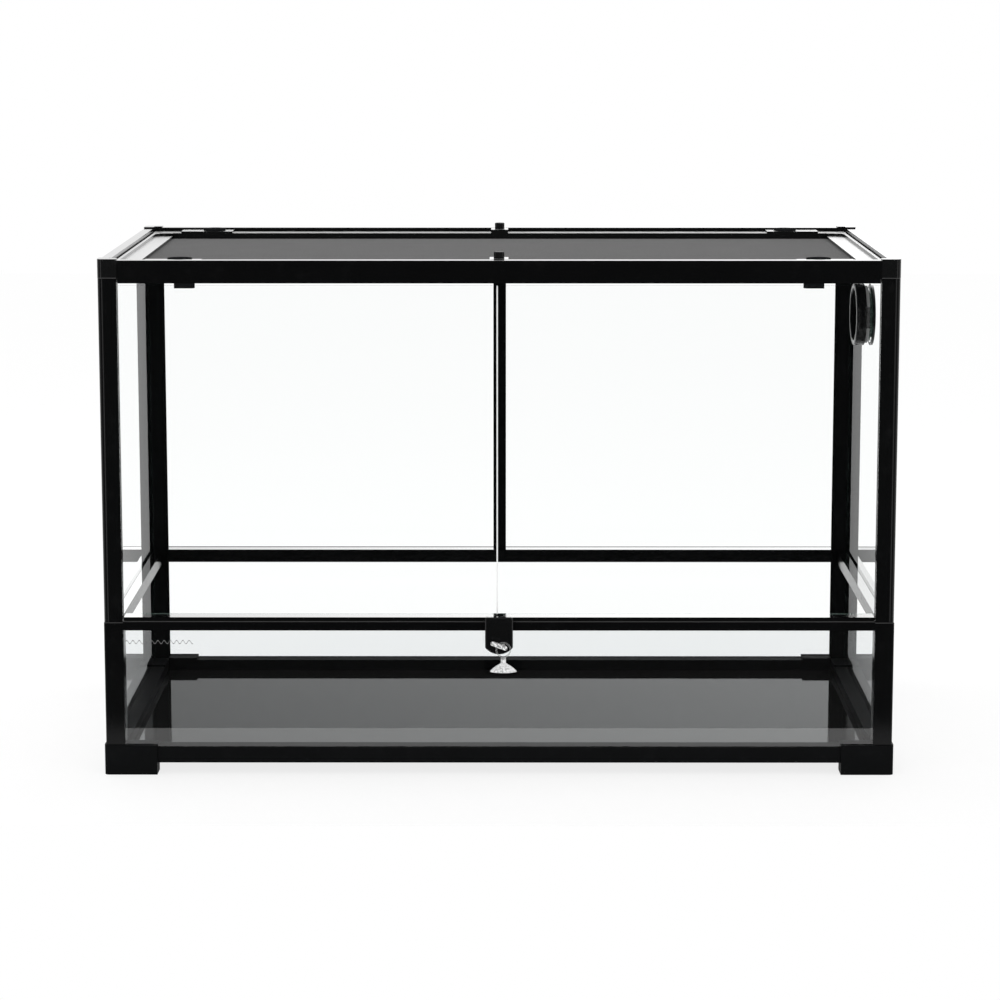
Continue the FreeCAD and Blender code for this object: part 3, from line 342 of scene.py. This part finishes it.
def printed_ink():
    """Dark ink, worn a little unevenly."""
    finish = new_finish("printed_ink")
    wear = finish.noise(scale=500.0)
    return finish.show(finish.surface({
        "Base Color": finish.blend(wear, grey(0.10), grey(0.22)),
        "Roughness": 0.5 + wear * 0.2,
    }))


FLOOR_GLOW = 0.8


def studio_floor():
    """Matt white, which the camera, mirrors and glass see as a white ground with soft shadows."""
    finish = new_finish("studio_floor")
    tone = finish.noise(scale=2.0, detail=2.0)
    matt = finish.surface({
        "Base Color": finish.blend(tone, grey(0.95), grey(0.97)),
        "Roughness": 0.9 + tone * 0.05,
    })
    glow = finish.node("ShaderNodeEmission", None, {"Color": WHITE, "Strength": 1.0})
    seen = finish.ray("Camera") + finish.ray("Glossy") + finish.ray("Transmission")
    return finish.show(finish.mix(seen * FLOOR_GLOW, matt, glow))


# Coats, as the values of coated_black
FRAME_COAT = dict(level=0.0022, rough=0.14, grain=0.08, rub=0.08, sheen=0.18, polish=0.92)
MOULDED_COAT = dict(level=0.0028, rough=0.18, grain=0.15, rub=0.06, sheen=0.3, polish=0.9)
LID_COAT = dict(level=0.0026, rough=0.16, grain=0.10, rub=0.08, sheen=0.25, polish=0.95, blur=0.3)
KNOB_COAT = dict(level=0.0035, rough=0.28, grain=0.2, rub=0.08, sheen=0.1)
BASE_COAT = dict(level=0.0045, rough=0.42, grain=0.2, rub=0.06, sheen=0.012)
REAR_COAT = dict(level=0.0030, rough=0.3, grain=0.1, rub=0.06, sheen=0.0)
CATCH_COAT = dict(level=0.0100, rough=0.4, grain=0.2, rub=0.06, sheen=0.0)

# Heights of the painted highlight lines at the seams and the step
EDGE_INSET = 0.7 * MM
STEP_DROP = 5 * MM
SEAM_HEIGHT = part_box("left_door_stile")[0].z - EDGE_INSET
CAP_SEAM_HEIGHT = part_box("left_door_stile")[1].z + EDGE_INSET
STEP_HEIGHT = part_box("front_mid_rail")[1].z - STEP_DROP

# The port and the pull, with the patches of glass that don't mirror them
PORT_LOW, PORT_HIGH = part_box("port_body")
PORT_MIDDLE = (PORT_LOW + PORT_HIGH) / 2
PULL_PEG = Vector(next(joint["pos_m"] for joint in frame["joints"] if joint["name"] == "pull_swing"))
PORT_PATCH = {
    "axis": "Y",
    "middle": PORT_MIDDLE.y - 55.5 * MM,
    "height": PORT_MIDDLE.z + 6.4 * MM,
    "reach": 100 * MM,
    "rise": 42 * MM,
    "slope": -0.115,
}
PULL_PATCH = {
    "axis": "X",
    "middle": PULL_PEG.x - 0.5 * MM,
    "height": PULL_PEG.z - 26 * MM,
    "reach": 22 * MM,
    "rise": 12 * MM,
}

# Heights where the vinyl's milk and painted sheen begin to fade and end, or both far above the case to be milky
# and painted bright all over
CUP_NECK_HEIGHT = PULL_PEG.z - 11.5 * MM
MILK_AND_SHEEN_FADE = 4 * MM
CUP_MILK_AND_SHEEN = (CUP_NECK_HEIGHT - MILK_AND_SHEEN_FADE, CUP_NECK_HEIGHT)
ALL_MILK_AND_SHEEN = (10.0, 11.0)

FINISHES = {
    "frame_black": coated_black("frame_coat", **FRAME_COAT),
    "moulded_black": coated_black("moulded_black", **MOULDED_COAT),
    "lid_black": coated_black("lid_satin", **LID_COAT),
    "knob_black": coated_black("knob_black", **KNOB_COAT),
    "clear_glass": pane_glass("cross_glass", "Y"),
    "floor_black": floor_sheet(),
    "screen_wire": screen_wire(),
    "clear_vinyl": clear_vinyl("clear_vinyl", *CUP_MILK_AND_SHEEN),
    "gasket_rubber": gasket_rubber(),
}
# The door strip's vinyl is painted near-white all over: a painted highlight along the door's edge
STRIP_VINYL = clear_vinyl("strip_vinyl", *ALL_MILK_AND_SHEEN, marks=0.93, haze=0.92)
SIDE_GLASS = pane_glass("side_glass", "X")
BASE_BLACK = coated_black("base_black", **BASE_COAT)
REAR_BLACK = coated_black("rear_post_black", **REAR_COAT)
# The lower front posts and the front caps carry a painted highlight line at their seam
POST_BLACK = coated_black("seam_highlight_black", **FRAME_COAT, edge=SEAM_HEIGHT)
CAP_BLACK = coated_black("cap_highlight_black", **MOULDED_COAT, edge=CAP_SEAM_HEIGHT)
CATCH_BLACK = coated_black("catch_black", **CATCH_COAT)
NODE_FINISHES = {
    "left_side_glass": SIDE_GLASS,
    "right_side_glass": pane_glass("port_side_glass", "X", patch=PORT_PATCH),
    "lower_front_glass": pane_glass("lower_front_glass", "Y", STRONGER_SHEEN, GREYER_TINT, PULL_PATCH),
    "rear_mullion": REAR_BLACK,
    # The toggle is milky and painted bright all over, in place of its highlights
    "pull_toggle": clear_vinyl("toggle_vinyl", *ALL_MILK_AND_SHEEN, marks=0.4, haze=0.35),
    # The front mid rail carries a painted highlight line along its step
    "front_mid_rail": coated_black("step_highlight_black", **FRAME_COAT, edge=STEP_HEIGHT),
    "base_front_rail": BASE_BLACK,
    "base_rear_rail": BASE_BLACK,
}
for side in ("left", "right"):
    NODE_FINISHES[f"lower_{side}_glass"] = SIDE_GLASS
    NODE_FINISHES[f"rear_post_{side}"] = REAR_BLACK
    NODE_FINISHES[f"lower_front_post_{side}"] = POST_BLACK
    NODE_FINISHES[f"top_cap_front_{side}"] = CAP_BLACK
    NODE_FINISHES[f"base_{side}_rail"] = BASE_BLACK
    for end in ("front", "rear"):
        NODE_FINISHES[f"foot_{end}_{side}"] = BASE_BLACK
        NODE_FINISHES[f"lid_latch_{end}_{side}"] = CATCH_BLACK


def dress_solids():
    """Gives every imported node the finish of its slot, or its own."""
    for part in frame["record"]["subparts"]:
        node = part["node"]
        finish = NODE_FINISHES.get(node) or FINISHES[part["material_slot"]]
        for slot in frame["nodes"][node].material_slots:
            slot.material = finish


# New pieces
WELD = 0.001 * MM


def add_object(name, data):
    thing = bpy.data.objects.new(name, data)
    bpy.context.scene.collection.objects.link(thing)
    return thing


def add_mesh(name, mesh, finish):
    """Turns a bmesh into an object of one finish."""
    data = bpy.data.meshes.new(name)
    mesh.to_mesh(data)
    mesh.free()
    data.materials.append(finish)
    return add_object(name, data)


def new_piece(name, mesh, finish, body, sharp=None):
    """Turns a bmesh into a piece that rides on a body, shaded smooth up to the sharp angle if given."""
    bmesh.ops.remove_doubles(mesh, verts=mesh.verts, dist=WELD)
    bmesh.ops.recalc_face_normals(mesh, faces=mesh.faces)
    for face in mesh.faces:
        face.smooth = sharp is not None
    piece = add_mesh(name, mesh, finish)
    if sharp is not None:
        piece.data.set_sharp_from_angle(angle=math.radians(sharp))
    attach(piece, body)
    return piece


def turned(mesh, outline, axis, centre, steps, closed=False):
    """Turns an outline of points once round an axis."""
    corners = [mesh.verts.new(point) for point in outline]
    pairs = list(zip(corners, corners[1:]))
    if closed:
        pairs.append((corners[-1], corners[0]))
    edges = [mesh.edges.new(pair) for pair in pairs]
    bmesh.ops.spin(
        mesh,
        geom=corners + edges,
        cent=centre,
        axis=axis,
        angle=math.tau,
        steps=steps,
        use_merge=True,
    )


def rod(mesh, radius, length, sides, matrix):
    """Adds a closed rod and gives its corners."""
    return bmesh.ops.create_cone(
        mesh,
        cap_ends=True,
        segments=sides,
        radius1=radius,
        radius2=radius,
        depth=length,
        matrix=matrix,
    )["verts"]


def edges_at(corners):
    """The edges that meet at any of these corners."""
    return {edge for corner in corners for edge in corner.link_edges}


def round_edges(mesh, edges, width, segments):
    bmesh.ops.bevel(
        mesh,
        geom=list(edges),
        offset=width,
        offset_type="OFFSET",
        affect="EDGES",
        segments=segments,
        profile=0.5,
        material=-1,
    )


def rounded_box(mesh, low, high, width):
    """A box between two corners with rounded edges."""
    size = Vector(high) - Vector(low)
    middle = (Vector(high) + Vector(low)) / 2
    matrix = Matrix.Translation(middle) @ Matrix.Diagonal((*size, 1.0))
    corners = bmesh.ops.create_cube(mesh, size=1.0, matrix=matrix)["verts"]
    round_edges(mesh, edges_at(corners), width, segments=2)


WIRE_PITCH = 1.6 * MM
WIRE_SIDES = 6
ALONG_X, ALONG_Y = 0, 1


def lay_wires(mesh, low, high, along, level, radius):
    """A row of straight wires along X or Y, spread over the screen's box."""
    across = 1 - along
    length = high[along] - low[along]
    count = int((high[across] - low[across] - 2 * radius) / WIRE_PITCH)
    turn = Matrix.Rotation(math.pi / 2, 4, "Y" if along == ALONG_X else "X")
    start = Vector((low.x, low.y, level))
    start[along] += length / 2
    start[across] = (low[across] + high[across] - count * WIRE_PITCH) / 2
    wire = rod(mesh, radius, length, WIRE_SIDES, Matrix.Translation(start) @ turn)
    step = Vector((0, 0, 0))
    step[across] = WIRE_PITCH
    faces = {face for corner in wire for face in corner.link_faces}
    bmesh.ops.spin(
        mesh,
        geom=[*wire, *edges_at(wire), *faces],
        cent=start,
        axis=(0, 0, 1),
        dvec=step,
        angle=0,
        steps=count,
        use_duplicate=True,
    )


def weave_screen():
    """The wire screen: two crossed rows of fine wires where the solid sheet is."""
    low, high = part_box("lid_screen")
    radius = (high.z - low.z) / 4
    mesh = bmesh.new()
    lay_wires(mesh, low, high, ALONG_Y, low.z + radius, radius)
    lay_wires(mesh, low, high, ALONG_X, high.z - radius, radius)
    screen = new_piece("wire_screen", mesh, FINISHES["screen_wire"], "lid")
    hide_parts("lid_screen")


KNOB_FLUTES = 10
SIDES_PER_FLUTE = 6
FLUTE_SHARE = 0.09
KNOB_ROUND = 0.9 * MM
TOP_BAND = 0.1 * MM


def flute_knobs():
    """The lid's two lifting knobs, with grip flutes and a rounded top."""
    low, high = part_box("lid_lift_knobs")
    radius = (high.x - low.x) / 2
    mesh = bmesh.new()
    for bar in ("lid_front_bar", "lid_rear_bar"):
        bar_low, bar_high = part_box(bar)
        foot = Vector((0, (bar_low.y + bar_high.y) / 2, bar_high.z))
        rise = high.z - bar_high.z
        middle = Matrix.Translation(foot + Vector((0, 0, rise / 2)))
        rim = rod(mesh, radius, rise, KNOB_FLUTES * SIDES_PER_FLUTE, middle)
        for corner in rim:
            out = corner.co - foot
            dent = max(0.0, math.cos(math.atan2(out.y, out.x) * KNOB_FLUTES)) * FLUTE_SHARE
            corner.co.x -= out.x * dent
            corner.co.y -= out.y * dent
        top = [edge for edge in edges_at(rim) if all(v.co.z > high.z - TOP_BAND for v in edge.verts)]
        round_edges(mesh, top, KNOB_ROUND, segments=3)
    knobs = new_piece("fluted_knobs", mesh, FINISHES["knob_black"], "lid", sharp=50)
    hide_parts("lid_lift_knobs")


# The pull's sections, in millimetres: the ring's from the ring's middle, the others from the peg
PULL_LEAN = 7
PULL_STEPS = 56
RING_MIDDLE = Vector((0, 0, -4.0)) * MM
RING_SECTION = [
    (7.3, -0.8), (7.8, -1.3), (8.5, -1.3), (8.9, -0.8), (8.9, 0.8), (8.5, 1.3), (7.8, 1.3), (7.3, 0.8),
]
NECK = ((-2.9, -1.9, -19.6), (2.9, 1.9, -12.4))
NECK_ROUND = 1.2 * MM
CUP_SECTION = [
    (0.0, -18.9), (3.2, -19.0), (4.2, -19.9), (6.4, -21.2), (9.2, -22.9), (11.8, -24.9), (14.0, -27.0),
    (15.2, -28.3), (15.3, -28.6), (15.0, -28.95), (12.4, -28.5), (9.6, -27.3), (6.0, -26.1), (0.0, -25.6),
]


def hang_pull():
    """The soft pull on its peg: finger ring, flat neck and bell-shaped suction cup."""
    mesh = bmesh.new()
    ring = [Vector((radius * MM, side * MM, 0)) + RING_MIDDLE for radius, side in RING_SECTION]
    turned(mesh, ring, (0, 1, 0), RING_MIDDLE, PULL_STEPS, closed=True)
    low, high = (Vector(corner) * MM for corner in NECK)
    rounded_box(mesh, low, high, NECK_ROUND)
    cup = [(radius * MM, 0, level * MM) for radius, level in CUP_SECTION]
    turned(mesh, cup, (0, 0, 1), (0, 0, 0), PULL_STEPS)
    lean = Matrix.Translation(PULL_PEG) @ Matrix.Rotation(math.radians(-PULL_LEAN), 4, "X")
    bmesh.ops.transform(mesh, matrix=lean, verts=mesh.verts)
    pull = new_piece("soft_pull", mesh, FINISHES["clear_vinyl"], "pull", sharp=60)
    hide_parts("suction_pull")


NUT_STEPS = 96
NUT_BEVEL = {"face": 2.2 * MM, "side": 1.1 * MM}
NUT_SHOULDER = {"face": 0.4, "side": 0.3}
NUT_BORE = 32.2 * MM
LUG_HALF = 13 * MM
LUG_DEPTH = 3.4 * MM
LUG_INSET = 2 * MM
LUG_ROUND = 0.6 * MM


def turn_ring_nut():
    """The port's ring nut, with a bevelled face and the grip lug at its front."""
    low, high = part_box("port_ring_nut")
    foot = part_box("port_gasket")[0].x
    radius = (high.z - low.z) / 2
    face, side = NUT_BEVEL["face"], NUT_BEVEL["side"]
    section = [
        (foot, NUT_BORE),
        (foot, radius),
        (low.x + side, radius),
        (low.x + side * NUT_SHOULDER["side"], radius - face * NUT_SHOULDER["face"]),
        (low.x, radius - face),
        (low.x, NUT_BORE + face / 2),
        (low.x + side, NUT_BORE),
    ]
    mesh = bmesh.new()
    outline = [(x, PORT_MIDDLE.y, PORT_MIDDLE.z + out) for x, out in section]
    turned(mesh, outline, (1, 0, 0), PORT_MIDDLE, NUT_STEPS, closed=True)
    lug_low = (low.x + LUG_INSET, low.y, PORT_MIDDLE.z - LUG_HALF)
    lug_high = (high.x, low.y + LUG_DEPTH, PORT_MIDDLE.z + LUG_HALF)
    rounded_box(mesh, lug_low, lug_high, LUG_ROUND)
    nut = new_piece("ring_nut", mesh, FINISHES["moulded_black"], "case", sharp=25)
    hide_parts("port_ring_nut")


STRIP_WIDTH = 1.6 * MM
STRIP_INSET = 0.2 * MM
STRIP_ROUND = 0.3 * MM


def fit_door_strip():
    """The clear vinyl strip along the left door's free edge, painted near-white all over as a highlight line along
    the door's edge.
    """
    low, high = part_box("left_door_glass")
    mesh = bmesh.new()
    strip_low = (high.x, low.y + STRIP_INSET, low.z)
    strip_high = (high.x + STRIP_WIDTH, high.y - STRIP_INSET, high.z)
    rounded_box(mesh, strip_low, strip_high, STRIP_ROUND)
    new_piece("door_edge_strip", mesh, STRIP_VINYL, "left_door")


LEVEL_MARK = {"inset": 10 * MM, "drop": 20 * MM, "length": 78 * MM}
LEVEL_WAVE = {"period": 7.2 * MM, "swing": 1.9 * MM, "line": 0.45 * MM}
STEPS_PER_WAVE = 14
INK_FILM = 0.02 * MM


def print_level_mark():
    """A plain wavy fill line printed on the lower front pane."""
    pane_low, pane_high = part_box("lower_front_glass")
    mesh = bmesh.new()
    length = LEVEL_MARK["length"]
    left = pane_low.x + LEVEL_MARK["inset"]
    steps = int(length / LEVEL_WAVE["period"] * STEPS_PER_WAVE)
    middle = Vector((left + length / 2, pane_low.y - INK_FILM, pane_high.z - LEVEL_MARK["drop"]))
    lie = Matrix.Translation(middle) @ Matrix.Rotation(math.pi / 2, 4, "X")
    spread = Matrix.Diagonal((length / 2, LEVEL_WAVE["line"], 1.0, 1.0))
    bmesh.ops.create_grid(mesh, x_segments=steps, y_segments=1, size=1.0, matrix=lie @ spread)
    for corner in mesh.verts:
        phase = (corner.co.x - left) / LEVEL_WAVE["period"] * math.tau
        corner.co.z += math.sin(phase) * LEVEL_WAVE["swing"]
    bmesh.ops.solidify(mesh, geom=mesh.faces[:], thickness=INK_FILM)
    new_piece("level_mark", mesh, printed_ink(), "case")


# Studio
FLOOR_MARGIN = 0.205
FLOOR_SIZE = 6.0
FLOOR_DROP = 0.05 * MM


def lay_floor():
    """The white ground, which ends a little in front of the case."""
    mesh = bmesh.new()
    half = FLOOR_SIZE / 2
    lie = Matrix.Translation((0, CASE_FRONT - FLOOR_MARGIN + half, -FLOOR_DROP))
    bmesh.ops.create_grid(mesh, x_segments=1, y_segments=1, size=half, matrix=lie)
    floor = add_mesh("studio_floor", mesh, studio_floor())


# Parts of the room by direction, from -1 behind the camera or at the left to 1 before it or at the right
ROOM_DEPTH = (-0.55, -0.05)
ROOM_DARK = 0.02
ROOM_MIDDLE = (-0.12, 0.12)
ROOM_SIDES = (0.82, 1.26)
LIGHT_STRIP_INNER = (0.26, 0.32)
LIGHT_STRIP_OUTER = (0.5, 0.56)
LIGHT_STRIP_DEPTH = (-0.7, -0.5)
LIGHT_STRIP_POWER = 2.0
SOFTBOX_SIZE = (2.4, 1.2)
SOFTBOX_WATTS = 18.0
SOFTBOX_PLACE = (-0.4, 0.5, 2.6)
SOFTBOX_TILT = -14


def light_studio():
    """A white room, in mirrors dark behind the camera but for two upright strips, and a lamp overhead."""
    world = bpy.data.worlds.new("studio")
    bpy.context.scene.world = world
    studio = Finish(world, "ShaderNodeOutputWorld")
    way = studio.node("ShaderNodeTexCoord", out="Generated")
    depth = studio.along("Y", way)
    sideways = studio.along("X", way)
    across = abs(sideways)
    room = studio.ramp(depth, *ROOM_DEPTH, first=ROOM_DARK)
    room = room * studio.ramp(sideways, *ROOM_MIDDLE, *ROOM_SIDES)
    strips = studio.ramp(across, *LIGHT_STRIP_INNER) * studio.fall(across, *LIGHT_STRIP_OUTER)
    strips = strips * studio.fall(depth, *LIGHT_STRIP_DEPTH)
    strength = room + strips * LIGHT_STRIP_POWER
    plain = studio.node("ShaderNodeBackground", None, {"Color": WHITE, "Strength": 1.0})
    mirrored = studio.node("ShaderNodeBackground", None, {"Color": WHITE, "Strength": strength})
    studio.show(studio.mix(studio.ray("Glossy"), plain, mirrored))
    lamp = bpy.data.lights.new("overhead_softbox", "AREA")
    lamp.shape = "RECTANGLE"
    lamp.size, lamp.size_y = SOFTBOX_SIZE
    lamp.energy = SOFTBOX_WATTS
    softbox = add_object("overhead_softbox", lamp)
    softbox.location = SOFTBOX_PLACE
    softbox.rotation_euler = (math.radians(SOFTBOX_TILT), 0, 0)
    softbox.visible_glossy = False


# The sensor and the lens are in millimetres, the shift is a share of the picture
CAMERA_SENSOR = 36.0
CAMERA_LENS = 102.83
CAMERA_SHIFT = -0.1
CAMERA_RANGE = 100.0
CAMERA_DISTANCE = 3.216
CAMERA_HEIGHT = 0.907
CAMERA_SIDEWAYS = 0.0067
CAMERA_TILT = 8.283
CAMERA_TURN = 0.099


def set_camera():
    """The camera before the case, looking a little down."""
    camera = bpy.data.cameras.new("camera")
    camera.sensor_width = CAMERA_SENSOR
    camera.lens = CAMERA_LENS
    camera.shift_y = CAMERA_SHIFT
    camera.clip_end = CAMERA_RANGE
    seat = add_object("camera", camera)
    seat.location = (CAMERA_SIDEWAYS, CASE_FRONT - CAMERA_DISTANCE, CAMERA_HEIGHT)
    seat.rotation_euler = (math.radians(90 - CAMERA_TILT), 0, math.radians(CAMERA_TURN))
    bpy.context.scene.camera = seat


dress_solids()
weave_screen()
flute_knobs()
hang_pull()
turn_ring_nut()
fit_door_strip()
print_level_mark()
lay_floor()
light_studio()
set_camera()
bpy.context.scene.view_settings.view_transform = "Standard"
